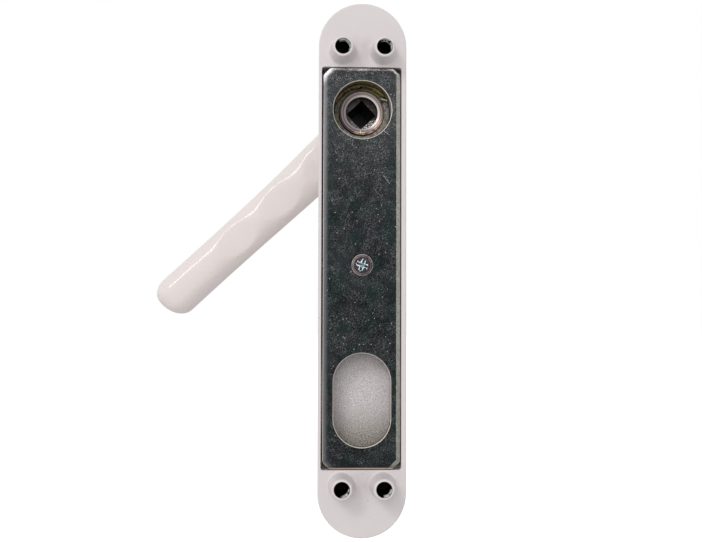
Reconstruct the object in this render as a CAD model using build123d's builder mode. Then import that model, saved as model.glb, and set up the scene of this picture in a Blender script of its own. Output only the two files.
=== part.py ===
from build123d import *
from math import cos, pi, radians, sin, sqrt, tan
import os

# Balcony door pull handle: a long cast housing with a steel back plate, and a lever that turns in it.
# +Z is up, +Y points into the door and -Y into the room, where the lever is. The origin is on the
# spindle axis, in the mounting face. A depth is a distance from the mounting face towards the room.
# All sizes are in millimetres and all angles in degrees.

# Housing, a long plate with full round ends
housing_length = 200.0
housing_width = 33.0
housing_depth = 11.0
housing_draft = 1.5
spindle_drop = 40.2
front_edge_radius = 2.5
back_edge_radius = 0.5

# Pocket in the mounting face, between the top and bottom lands
top_land = 24.15
bottom_land = 25.15
side_rim = 1.5
pocket_shift = 0.35
pocket_corner_radius = 1.0
front_wall = 3.0

# Tapped screw bosses, two on each land
boss_height = 8.4
boss_wall = 0.95
boss_flare = 1.1
boss_spacing = 15.4
boss_edge = 0.75
boss_root_fillet = 0.8
boss_tip_fillet = 0.7
tap_radius = 2.85
tap_mouth_chamfer = 0.1
tap_end_wall = 3.0
drill_point_height = 1.5

# Steel back plate
plate_thickness = 3.0
plate_sink = 0.2
plate_side_gap = 0.45
plate_end_gap = 0.3
plate_shift = -0.15
plate_corner_cut = 2.7
plate_corner_fillet = 2.0
plate_bevel_width = 1.3
plate_bevel_depth = 0.3
plate_edge_radius = 0.25
hub_hole_radius = 10.95
hub_hole_chamfer = 0.35
cylinder_width = 21.3
cylinder_length = 34.9
cylinder_rise = 25.75
cylinder_edge_radius = 0.5

# Countersunk screw in the middle of the plate
screw_radius = 2.0
screw_length = 7.2
screw_end_room = 0.6
screw_head_radius = 4.0
screw_head_rim = 0.25
screw_bevel_width = 0.9
screw_bevel_depth = 0.2
screw_rise = 0.8
screw_clearance = 0.25
thread_clearance = 0.03
countersink_margin = 0.2
countersink_angle = 90.0
recess_radius = 2.2
recess_width = 0.95
recess_depth = 1.6
recess_taper = 8.0
recess_angle = 20.0
screw_boss_wall = 2.6

# Support ribs under the plate
rib_thickness = 1.6
rib_drop = 0.8
rib_offset = 7.5
rib_margin = 5.0

# Hub well: the ring wall that carries the plate, and the collar on the front
ring_clearance = 0.15
ring_wall = 2.3
collar_height = 6.0
collar_wall = 1.9
collar_draft = 1.0
collar_root_fillet = 0.6
collar_edge_fillet = 0.6

# Swaged end of the lever neck
lip_sink = 5.9
lip_height = 1.6
lip_overhang = 1.35
lip_step = 0.45
lip_step_width = 0.75
lip_slope_width = 1.4
lip_slope_depth = 0.8
lip_edge_fillet = 0.48
neck_tube_radius = 7.3
neck_wall = 1.15
neck_bore_depth = 4.9
journal_step = 0.7
socket_side = 8.1
socket_depth = 24.0

# Washers between the swaged lip and the floor of the well
stack_play = 0.1
spring_thickness = 1.4
spring_lift = 0.7
spring_edge_gap = 0.4
spring_gap_angle = 8.0
spring_end_angle = 26.0
flat_thickness = 0.8
flat_edge_gap = 0.3
washer_clearance = 0.3

# Flanged bearing bush
bush_wall = 1.4
bush_flange = 1.2
bush_flange_width = 1.1
bush_clearance = 0.05
bush_seat_clearance = 0.02
shoulder_play = 0.15

# Lever
lever_angle = 42.7
grip_depth = 49.5
bend_radius = 20.0
grip_root = 1.5
neck_radius = 9.8
grip_root_width = 19.4
grip_waist_width = 17.3
grip_waist_from_tip = 25.0
grip_root_rise = 1.2
grip_rise_run = 50.0
grip_door_side = 7.0
grip_room_side = 6.3
tip_length = 8.0
tip_power = 2.3
tip_skew = 7.5

# Finger waves on the door side of the grip
finger_pitch = 24.0
finger_depth = 0.9
ridge_count = 3
ridge_run = 9.8
tip_zone = 30.4
ridge_sharpness = 0.25
tip_zone_step = 0.3
tip_zone_ramp = 3.0

# Places worked out from the driving sizes
bottom_end = spindle_drop - housing_length
housing_middle = spindle_drop - housing_length / 2
pocket_top = spindle_drop - top_land
pocket_bottom = bottom_end + bottom_land
pocket_length = pocket_top - pocket_bottom
pocket_width = housing_width - 2 * side_rim
pocket_middle = (pocket_top + pocket_bottom) / 2
pocket_depth = housing_depth - front_wall
plate_seat = plate_sink + plate_thickness
screw_height = pocket_middle + screw_rise
cylinder_height = pocket_bottom + cylinder_rise
boss_tip_radius = tap_radius + boss_wall
boss_base_radius = boss_tip_radius + boss_flare
boss_top = pocket_top + boss_edge + boss_base_radius
boss_bottom = pocket_bottom - boss_edge - boss_base_radius
lip_under = lip_sink + lip_height
lip_radius = neck_tube_radius + lip_overhang
lip_step_radius = lip_radius - lip_step_width
neck_bore_radius = neck_tube_radius - neck_wall
journal_radius = neck_tube_radius + journal_step
spring_top = lip_under + stack_play
flat_top = spring_top + spring_thickness + spring_lift
well_depth = flat_top + flat_thickness
well_radius = hub_hole_radius + ring_clearance
washer_bore = neck_tube_radius + washer_clearance
spring_width = well_radius - spring_edge_gap - washer_bore
flat_width = well_radius - flat_edge_gap - washer_bore
ledge_depth = lip_sink + neck_bore_depth
collar_face = housing_depth + collar_height
bush_bore = journal_radius + bush_clearance
bush_radius = bush_bore + bush_wall
bush_seat_radius = bush_radius + bush_seat_clearance
shoulder_depth = collar_face + bush_flange + shoulder_play
bend_start = grip_depth - bend_radius
cone_run = 1 / tan(radians(countersink_angle / 2))
countersink_radius = screw_head_radius + countersink_margin
head_cone = plate_sink + countersink_margin * cone_run
head_top = head_cone - screw_head_rim
head_root = head_cone + (screw_head_radius - screw_radius) * cone_run
screw_end = head_top + screw_length
grip_start = bend_radius + grip_root
last_ridge = grip_start + ridge_run + (ridge_count - 1) * finger_pitch
lever_reach = last_ridge + tip_zone
cap_start = lever_reach - tip_length


def depth_plane(depth):
    """Plane parallel to the mounting face, at a depth, that looks towards the room."""
    return Plane.XZ.offset(depth)


def boss_places():
    """Centres of the four tapped bosses, as (x, z)."""
    return [(x, z) for z in (boss_top, boss_bottom) for x in (-boss_spacing / 2, boss_spacing / 2)]


# Housing casting
with BuildPart() as housing:
    with BuildSketch(depth_plane(0)):
        with Locations((0, housing_middle)):
            SlotOverall(housing_length, housing_width, rotation=90)
    extrude(amount=housing_depth, taper=housing_draft)
    front_edges = housing.faces().sort_by(Axis.Y)[0].edges()
    fillet(front_edges, front_edge_radius)
    back_edges = housing.faces().sort_by(Axis.Y)[-1].edges()
    fillet(back_edges, back_edge_radius)

    # Collar that holds the bearing bush
    with BuildSketch(depth_plane(housing_depth)):
        Circle(bush_seat_radius + collar_wall)
    extrude(amount=collar_height, taper=collar_draft)
    collar_top = housing.faces().sort_by(Axis.Y)[0]
    fillet(collar_top.edges(), collar_edge_fillet)
    collar_root = housing.edges().filter_by(GeomType.CIRCLE).filter_by(
        lambda edge: abs(edge.center().Y + housing_depth) < 0.01
    )
    fillet(collar_root, collar_root_fillet)

    # Pocket
    with BuildSketch(depth_plane(0)):
        with Locations((pocket_shift, pocket_middle)):
            RectangleRounded(pocket_width, pocket_length, pocket_corner_radius)
    extrude(amount=pocket_depth, mode=Mode.SUBTRACT)

    # Ring wall of the hub well, screw boss and ribs, on the pocket floor
    with BuildSketch(depth_plane(plate_seat)):
        Circle(well_radius + ring_wall)
        with Locations((0, screw_height)):
            Circle(screw_radius + screw_boss_wall)
    extrude(amount=pocket_depth - plate_seat)
    rib_end = cylinder_height + cylinder_length / 2 + rib_margin
    with BuildSketch(depth_plane(plate_seat + rib_drop)):
        with Locations((-rib_offset, rib_end / 2), (rib_offset, rib_end / 2)):
            Rectangle(rib_thickness, -rib_end)
        for height in (screw_height / 2, screw_height, rib_end):
            with Locations((pocket_shift, height)):
                Rectangle(pocket_width, rib_thickness)
    extrude(amount=pocket_depth - plate_seat - rib_drop)

    # Hub well, and the seat of the bush through the collar
    with BuildSketch(depth_plane(plate_seat)):
        Circle(well_radius)
    extrude(amount=well_depth - plate_seat, mode=Mode.SUBTRACT)
    with BuildSketch(depth_plane(well_depth)):
        Circle(bush_seat_radius)
    extrude(amount=collar_face - well_depth, mode=Mode.SUBTRACT)

    # Tapped hole for the plate screw
    with BuildSketch(depth_plane(plate_seat)):
        with Locations((0, screw_height)):
            Circle(screw_radius + thread_clearance)
    extrude(amount=screw_end + screw_end_room - plate_seat, mode=Mode.SUBTRACT)

    # Conical bosses that stand into the door, with blind tapped holes
    for x, z in boss_places():
        with BuildSketch(Plane.XY.offset(z)):
            with BuildLine():
                Polyline(
                    (x, -front_wall),
                    (x + boss_base_radius, -front_wall),
                    (x + boss_base_radius, 0),
                    (x + boss_tip_radius, boss_height),
                    (x, boss_height),
                    close=True,
                )
            make_face()
        revolve(axis=Axis((x, 0, z), (0, 1, 0)))
    boss_tips = housing.edges().filter_by(GeomType.CIRCLE).filter_by(
        lambda edge: abs(edge.center().Y - boss_height) < 0.01
    )
    fillet(boss_tips, boss_tip_fillet)
    boss_roots = housing.edges().filter_by(GeomType.CIRCLE).filter_by(
        lambda edge: abs(edge.center().Y) < 0.01 and abs(edge.radius - boss_base_radius) < 0.01
    )
    fillet(boss_roots, boss_root_fillet)
    hole_end = -(housing_depth - tap_end_wall)
    for x, z in boss_places():
        with BuildSketch(Plane.XY.offset(z)):
            with BuildLine():
                Polyline(
                    (x, hole_end),
                    (x + tap_radius, hole_end + drill_point_height),
                    (x + tap_radius, boss_height - tap_mouth_chamfer),
                    (x + tap_radius + tap_mouth_chamfer, boss_height),
                    (x, boss_height),
                    close=True,
                )
            make_face()
        revolve(axis=Axis((x, 0, z), (0, 1, 0)), mode=Mode.SUBTRACT)

# Steel back plate
with BuildPart() as back_plate:
    with BuildSketch(depth_plane(plate_sink)):
        with Locations((pocket_shift + plate_shift, pocket_middle)):
            outline = Rectangle(pocket_width - 2 * plate_side_gap, pocket_length - 2 * plate_end_gap)
        chamfer(outline.vertices(), plate_corner_cut)
    extrude(amount=plate_thickness)
    fillet(back_plate.edges().filter_by(Axis.Y), plate_corner_fillet)
    door_face = back_plate.faces().filter_by(Plane.XZ).sort_by(Axis.Y)[-1]
    chamfer(door_face.edges(), plate_bevel_width, plate_bevel_depth, reference=door_face)
    bevel_foot = back_plate.edges().filter_by(
        lambda edge: abs(edge.center().Y + plate_sink + plate_bevel_depth) < 0.01
    )
    fillet(bevel_foot, plate_edge_radius)
    with BuildSketch(depth_plane(plate_sink)):
        Circle(hub_hole_radius)
        with Locations((0, cylinder_height)):
            SlotOverall(cylinder_length, cylinder_width, rotation=90)
    extrude(amount=plate_thickness, mode=Mode.SUBTRACT)
    door_face = back_plate.faces().filter_by(Plane.XZ).sort_by(Axis.Y)[-1]
    hub_edge = door_face.edges().filter_by(GeomType.CIRCLE).filter_by(
        lambda edge: abs(edge.radius - hub_hole_radius) < 0.01
    )
    chamfer(hub_edge, hub_hole_chamfer)
    door_face = back_plate.faces().filter_by(Plane.XZ).sort_by(Axis.Y)[-1]
    cylinder_edges = door_face.inner_wires().sort_by(Axis.Z)[0].edges()
    fillet(cylinder_edges, cylinder_edge_radius)
    with Locations(Plane(origin=(0, -plate_sink, screw_height), x_dir=(1, 0, 0), z_dir=(0, 1, 0))):
        CounterSinkHole(
            screw_radius + screw_clearance,
            countersink_radius,
            depth=plate_thickness,
            counter_sink_angle=countersink_angle,
        )

# Countersunk screw with a cross recess
with BuildPart() as plate_screw:
    with BuildSketch(Plane.XY.offset(screw_height)):
        with BuildLine():
            Polyline(
                (0, -head_top),
                (screw_head_radius - screw_bevel_width, -head_top),
                (screw_head_radius, -head_top - screw_bevel_depth),
                (screw_head_radius, -head_cone),
                (screw_radius, -head_root),
                (screw_radius, -screw_end),
                (0, -screw_end),
                close=True,
            )
        make_face()
    revolve(axis=Axis((0, 0, screw_height), (0, 1, 0)))
    with BuildSketch(depth_plane(head_top)):
        with Locations((0, screw_height)):
            Rectangle(2 * recess_radius, recess_width, rotation=recess_angle)
            Rectangle(2 * recess_radius, recess_width, rotation=recess_angle + 90)
    extrude(amount=recess_depth, taper=recess_taper, mode=Mode.SUBTRACT)

# Flanged bearing bush in the collar
with BuildPart() as neck_bush:
    with BuildSketch(Plane.XY):
        with BuildLine():
            Polyline(
                (bush_bore, -well_depth),
                (bush_radius, -well_depth),
                (bush_radius, -collar_face),
                (bush_radius + bush_flange_width, -collar_face),
                (bush_radius + bush_flange_width, -collar_face - bush_flange),
                (bush_bore, -collar_face - bush_flange),
                close=True,
            )
        make_face()
    revolve(axis=Axis.Y)

# Flat washer on the floor of the well
with BuildPart() as flat_washer:
    with BuildSketch(depth_plane(flat_top)):
        Circle(washer_bore + flat_width)
        Circle(washer_bore, mode=Mode.SUBTRACT)
    extrude(amount=flat_thickness)

# Split spring washer: a rectangle swept along just under one turn of a helix
turn = 360.0 - spring_gap_angle
with BuildPart() as spring_washer:
    with BuildLine() as coil:
        whole_coil = Helix(
            pitch=spring_lift * 360.0 / turn,
            height=spring_lift,
            radius=washer_bore + spring_width / 2,
            center=(0, -flat_top + spring_thickness / 2, 0),
            direction=(0, 1, 0),
            mode=Mode.PRIVATE,
        )
        add(whole_coil.rotate(Axis.Y, spring_end_angle + spring_gap_angle - 90))
    with BuildSketch(Plane(origin=coil.line @ 0, x_dir=(0, 1, 0), z_dir=coil.line % 0)):
        Rectangle(spring_thickness, spring_width)
    sweep(path=coil.line, is_frenet=True)

# Lever: the direction of the grip, and the width direction, square to it in the plane of the door
along = Vector(cos(radians(lever_angle)), 0, -sin(radians(lever_angle)))
across = Vector(0, 1, 0).cross(along)
roomward = Vector(0, -1, 0)
bend_steps = 14
finger_steps = 10
cap_steps = 7
cap_end_angle = 86.0


def finger_wave(reach):
    """How far the door side of the grip lies below its ridges, at a reach from the spindle axis."""
    past = reach - last_ridge
    if past > 0:
        return tip_zone_step * (1 - 1 / (1 + (past / tip_zone_ramp) ** 2))
    rounded = sqrt(sin(pi * past / finger_pitch) ** 2 + ridge_sharpness**2) - ridge_sharpness
    return finger_depth * rounded / (sqrt(1 + ridge_sharpness**2) - ridge_sharpness)


def grip_width(reach):
    """Width of the grip, which narrows from the root to a waist and widens a little to the tip."""
    waist = lever_reach - grip_waist_from_tip
    from_waist = (waist - reach) / (waist - grip_start)
    return grip_waist_width + (grip_root_width - grip_waist_width) * from_waist**2


def middle_rise(reach):
    """How far the middle of the lever lies above a straight line through the spindle axis."""
    return grip_root_rise * max(0.0, 1 - reach / grip_rise_run) ** 2


def lever_section(depth, reach, rise, direction, width_direction, width, door_side, room_side):
    """One section of the lever, square to its run: two half ellipses that share their width."""
    origin = roomward * depth + along * reach - across * rise
    with BuildSketch(Plane(origin=origin, x_dir=width_direction, z_dir=direction)) as section:
        with BuildLine():
            EllipticalCenterArc((0, 0), width / 2, door_side, 0, arc_size=180)
            EllipticalCenterArc((0, 0), width / 2, room_side, 180, arc_size=180)
        make_face()
    return section.sketch


# Bend: round where it leaves the neck, and oval where the grip starts
bend_sections = []
for i in range(bend_steps + 1):
    turned = radians(90.0 * i / bend_steps)
    share = (1 - cos(2 * turned)) / 2
    bend_sections.append(
        lever_section(
            bend_start + bend_radius * sin(turned),
            bend_radius * (1 - cos(turned)),
            middle_rise(bend_radius * (1 - cos(turned))) * share,
            roomward * cos(turned) + along * sin(turned),
            across,
            2 * neck_radius + (grip_root_width - 2 * neck_radius) * share,
            neck_radius + (grip_door_side - finger_wave(grip_start) - neck_radius) * share,
            neck_radius + (grip_room_side - neck_radius) * share,
        )
    )

# Grip: oval sections that follow the finger waves, then shrink to the rounded, slightly skewed tip
grip_sections = []
grip_steps = round(finger_steps * (cap_start - grip_start) / finger_pitch)
for i in range(grip_steps + 1):
    reach = grip_start + (cap_start - grip_start) * i / grip_steps
    door_side = grip_door_side - finger_wave(reach)
    grip_sections.append(
        lever_section(
            grip_depth,
            reach,
            middle_rise(reach),
            along,
            across,
            grip_width(reach),
            door_side,
            grip_room_side,
        )
    )
bend_sections.append(grip_sections[0])
for i in range(1, cap_steps + 1):
    share = sin(radians(cap_end_angle * i / cap_steps))
    shrink = (1 - share**tip_power) ** (1 / tip_power)
    skew = radians(tip_skew * share)
    grip_sections.append(
        lever_section(
            grip_depth,
            cap_start + tip_length * share,
            0,
            along * cos(skew) + across * sin(skew),
            across * cos(skew) - along * sin(skew),
            grip_width(cap_start) * shrink,
            (grip_door_side - finger_wave(cap_start)) * shrink,
            grip_room_side * shrink,
        )
    )

with BuildPart() as lever:
    with BuildSketch(depth_plane(shoulder_depth)):
        Circle(neck_radius)
    extrude(amount=bend_start - shoulder_depth)
    loft(sections=bend_sections)
    loft(sections=grip_sections)

    # Journal, neck tube and swaged lip
    with BuildSketch(Plane.XY):
        with BuildLine():
            Polyline(
                (0, -shoulder_depth),
                (journal_radius, -shoulder_depth),
                (journal_radius, -well_depth),
                (neck_tube_radius, -well_depth),
                (neck_tube_radius, -lip_under),
                (lip_radius, -lip_under),
                (lip_radius, -lip_sink - lip_step),
                (lip_step_radius, -lip_sink - lip_step),
                (lip_step_radius, -lip_sink),
                (neck_bore_radius + lip_slope_width, -lip_sink),
                (neck_bore_radius, -lip_sink - lip_slope_depth),
                (neck_bore_radius, -ledge_depth),
                (0, -ledge_depth),
                close=True,
            )
        make_face()
    revolve(axis=Axis.Y)
    lip_rim = lever.edges().filter_by(GeomType.CIRCLE).filter_by(
        lambda edge: abs(edge.radius - lip_radius) < 0.01
    )
    fillet(lip_rim, lip_edge_fillet)
    with BuildSketch(depth_plane(ledge_depth)):
        Rectangle(socket_side, socket_side, rotation=-lever_angle)
    extrude(amount=socket_depth, mode=Mode.SUBTRACT)

os.makedirs("parts", exist_ok=True)
for name, piece in {
    "housing": housing,
    "back_plate": back_plate,
    "plate_screw": plate_screw,
    "lever": lever,
    "neck_bush": neck_bush,
    "flat_washer": flat_washer,
    "spring_washer": spring_washer,
}.items():
    piece.part.label = name
    export_step(piece.part, f"parts/{name}.step")
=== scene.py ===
import math

import bpy
from mathutils import Matrix, Quaternion, Vector, noise


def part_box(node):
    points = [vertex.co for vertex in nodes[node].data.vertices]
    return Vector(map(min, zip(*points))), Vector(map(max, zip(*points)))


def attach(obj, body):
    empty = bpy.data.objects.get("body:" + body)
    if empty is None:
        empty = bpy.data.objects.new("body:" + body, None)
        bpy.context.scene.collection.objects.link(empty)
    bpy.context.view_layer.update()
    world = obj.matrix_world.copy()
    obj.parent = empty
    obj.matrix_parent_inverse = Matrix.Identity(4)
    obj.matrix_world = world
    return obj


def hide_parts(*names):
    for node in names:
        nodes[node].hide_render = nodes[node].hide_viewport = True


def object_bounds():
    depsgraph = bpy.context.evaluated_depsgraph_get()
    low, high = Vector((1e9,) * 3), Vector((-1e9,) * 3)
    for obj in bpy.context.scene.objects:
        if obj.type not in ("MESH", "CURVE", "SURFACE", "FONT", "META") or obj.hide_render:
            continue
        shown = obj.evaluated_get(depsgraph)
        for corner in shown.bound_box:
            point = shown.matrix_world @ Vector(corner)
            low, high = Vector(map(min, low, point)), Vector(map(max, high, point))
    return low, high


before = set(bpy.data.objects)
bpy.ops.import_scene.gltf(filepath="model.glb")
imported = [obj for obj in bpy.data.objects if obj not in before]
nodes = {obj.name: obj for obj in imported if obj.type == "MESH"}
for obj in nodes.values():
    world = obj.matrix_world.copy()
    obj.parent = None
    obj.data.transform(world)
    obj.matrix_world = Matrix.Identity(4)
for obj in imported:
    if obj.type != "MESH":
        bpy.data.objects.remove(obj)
cad_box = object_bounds()

# Everything is in metres, in the frame of the solids: +Z up, +Y into the door, and the spindle axis
# along Y through the origin. A depth is a distance from the mounting face towards the room.
MM = 0.001

# Camera, as fitted to the photograph
camera_place = Vector((0.01975, 0.3488, -0.0733))
camera_target = Vector((0.00422, 0.0, -0.06078))
camera_roll = math.radians(0.155)
camera_lens = 48.01

# What the lamps look at
handle_middle = Vector((0.01, 0.0, -0.06))

# Places on the object that the looks need, in metres
well_radius = 11.1 * MM
boss_hole_radius = 2.85 * MM
boss_mouth_radius = 2.95 * MM
boss_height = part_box("housing")[1].y
boss_spacing = 15.4 * MM
boss_rows = (21.7 * MM, -140.3 * MM)
row_middle = sum(boss_rows) / 2
row_reach = (boss_rows[0] - boss_rows[1]) / 2
plate_low, plate_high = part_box("back_plate")
plate_corner_cut = 2.7 * MM
hub_hole_radius = 10.95 * MM
bare_neck_depth = 18.3 * MM
lip_depth = 5.9 * MM
ledge_depth = 10.8 * MM
bore_radius = 6.15 * MM
lip_slope_radius = 7.55 * MM
lip_slope_depth = 0.8 * MM
lip_gleam_radius = 7.1 * MM
lip_step_radius = 7.9 * MM
lip_step = 0.45 * MM
lip_radius = 8.65 * MM
lip_edge = 0.48 * MM
lip_under = 7.5 * MM
tube_radius = 7.3 * MM
journal_radius = 8.0 * MM
journal_start = 10.5 * MM
socket_half_side = 4.05 * MM
socket_end = 34.8 * MM
bare_socket_radius = 5.86 * MM
bare_socket_depth = 36.0 * MM
screw_height = -58.5 * MM
recess_angle = math.radians(20)
lock_height = -108.9 * MM
lock_length = 34.9 * MM
lock_radius = 10.65 * MM
spring_top_depth = 7.6 * MM

# Lever, whose grip runs down to the left of the photograph
lever_angle = math.radians(42.7)
along = Vector((math.cos(lever_angle), 0, -math.sin(lever_angle)))
into_door = Vector((0, 1, 0))
across = into_door.cross(along)
grip_depth = 49.5 * MM
bend_radius = 20.0 * MM
neck_radius = 9.8 * MM
shoulder_depth = 18.35 * MM
grip_start = 21.5 * MM
cap_start = 101.7 * MM
tip_length = 8.0 * MM
tip_power = 2.3
tip_skew = math.radians(7.5)
tip_margin = 0.02 * MM
cap_turn = 89
sharp_angle = math.radians(32)
grip_root_width = 19.4 * MM
grip_waist_width = 17.3 * MM
grip_waist_from_tip = 25.0 * MM
grip_root_rise = 1.2 * MM
grip_rise_run = 50.0 * MM
grip_door_side = 7.0 * MM
grip_room_side = 6.3 * MM
finger_pitch = 24.0 * MM
finger_depth = 1.5 * MM
ridge_sharpness = 0.25
last_ridge = 79.3 * MM
tip_zone_step = 0.3 * MM
tip_zone_ramp = 3.0 * MM
hollow_crown = 0.6 * MM
hollow_edge = 0.22 * MM


def rgb(red, green, blue):
    """A colour given as 0 to 255 on the screen, as linear light."""
    def linear(value):
        value = value / 255
        return value / 12.92 if value <= 0.04045 else ((value + 0.055) / 1.055) ** 2.4
    return (linear(red), linear(green), linear(blue), 1.0)


class Look:
    """A material in the making. A value is a number, a colour or the output of another node."""

    def __init__(self, name):
        self.material = bpy.data.materials.new(name)
        self.material.use_nodes = True
        self.tree = self.material.node_tree
        self.shader = self.tree.nodes["Principled BSDF"]
        self.place = self.add("ShaderNodeTexCoord").outputs["Object"]
        self.normal = self.add("ShaderNodeNewGeometry").outputs["Normal"]
        self.x, self.y, self.z = self.split(self.place)

    def add(self, kind, **settings):
        """A new node."""
        node = self.tree.nodes.new(kind)
        for key, value in settings.items():
            setattr(node, key, value)
        return node

    def put(self, socket, value):
        """Links a node's output to a socket, or sets the socket to a constant."""
        if isinstance(value, bpy.types.NodeSocket):
            self.tree.links.new(value, socket)
        else:
            socket.default_value = value

    def split(self, vector):
        """The three parts of a vector."""
        node = self.add("ShaderNodeSeparateXYZ")
        self.put(node.inputs[0], vector)
        return node.outputs

    def math(self, operation, a, b=0.0):
        node = self.add("ShaderNodeMath", operation=operation)
        self.put(node.inputs[0], a)
        self.put(node.inputs[1], b)
        return node.outputs[0]

    def ramp(self, value, low, high, start=0.0, end=1.0):
        """Start below low and end above high, with a smooth step between them."""
        node = self.add("ShaderNodeMapRange", interpolation_type="SMOOTHSTEP")
        self.put(node.inputs[0], value)
        for socket, number in zip(node.inputs[1:5], (low, high, start, end)):
            self.put(socket, number)
        return node.outputs[0]

    def noise(self, size, detail=2.0, place=None, distortion=0.0):
        """Noise from 0 to 1 whose blobs are about that size, in metres."""
        node = self.add("ShaderNodeTexNoise")
        self.put(node.inputs["Vector"], self.place if place is None else place)
        node.inputs["Scale"].default_value = 1 / size
        node.inputs["Detail"].default_value = detail
        node.inputs["Distortion"].default_value = distortion
        return node.outputs[0]

    def stretched(self, along_x, along_y, along_z):
        """The place, scaled along each axis."""
        node = self.add("ShaderNodeVectorMath", operation="MULTIPLY")
        self.put(node.inputs[0], self.place)
        node.inputs[1].default_value = (along_x, along_y, along_z)
        return node.outputs[0]

    def turned(self, degrees, lengthening):
        """The place turned about Y and squeezed along Z, so that what is drawn on it runs long one way."""
        node = self.add("ShaderNodeVectorRotate", rotation_type="Y_AXIS")
        self.put(node.inputs["Vector"], self.place)
        node.inputs["Angle"].default_value = math.radians(degrees)
        squeeze = self.add("ShaderNodeVectorMath", operation="MULTIPLY")
        self.put(squeeze.inputs[0], node.outputs[0])
        squeeze.inputs[1].default_value = (1, 1, 1 / lengthening)
        return squeeze.outputs[0]

    def cells(self, size):
        """Distance from the nearest point of a scatter with that spacing, as a share of the spacing."""
        node = self.add("ShaderNodeTexVoronoi", feature="F1")
        self.put(node.inputs["Vector"], self.place)
        node.inputs["Scale"].default_value = 1 / size
        return node.outputs["Distance"]

    def mix(self, share, a, b):
        """Colour a where the share is 0, and b where it is 1."""
        node = self.add("ShaderNodeMix", data_type="RGBA")
        self.put(node.inputs[0], share)
        self.put(node.inputs[6], a)
        self.put(node.inputs[7], b)
        return node.outputs[2]

    def radius(self, x=0.0, z=0.0):
        """Distance from an axis along Y."""
        across = self.math("SUBTRACT", self.x, x)
        up = self.math("SUBTRACT", self.z, z)
        square = self.math("ADD", self.math("MULTIPLY", across, across), self.math("MULTIPLY", up, up))
        return self.math("SQRT", square)

    def inside(self, value, limit, blur):
        """1 where the value is under the limit."""
        return self.ramp(value, limit - blur, limit + blur, 1.0, 0.0)

    def between(self, value, low, high, blur):
        """1 where the value lies between the limits."""
        return self.both(self.ramp(value, low - blur, low + blur), self.inside(value, high, blur))

    def both(self, a, b):
        """Where two masks overlap."""
        return self.math("MULTIPLY", a, b)

    def either(self, a, b):
        """Where at least one of two masks is."""
        return self.math("MAXIMUM", a, b)

    def finish(self, colour, roughness, metallic=0.0, height=None, bump=1.0):
        """Gives the shader its inputs, with a bump from the height in metres."""
        self.put(self.shader.inputs["Base Color"], colour)
        self.put(self.shader.inputs["Roughness"], roughness)
        self.put(self.shader.inputs["Metallic"], metallic)
        if height is not None:
            node = self.add("ShaderNodeBump")
            node.inputs["Distance"].default_value = 1.0
            node.inputs["Strength"].default_value = bump
            self.put(node.inputs["Height"], height)
            self.put(self.shader.inputs["Normal"], node.outputs[0])
        return self.material


def lit_and_shaded_well_wall(look):
    """Colour of the wall round the neck: painted light on the right, painted shade on the left, and grease
    at the top.
    """
    tone = look.noise(1.4 * MM, 3.0)
    greasy = look.mix(look.ramp(tone, 0.35, 0.65), rgb(58, 48, 26), rgb(142, 126, 76))
    # Painted shade on the +X side of the wall, painted light on the -X side.
    wall = look.mix(look.ramp(look.x, 3.0 * MM, -6.0 * MM), rgb(64, 58, 52), rgb(172, 166, 162))
    return look.mix(look.ramp(look.z, 2.5 * MM, 5.5 * MM), wall, greasy)


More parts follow.
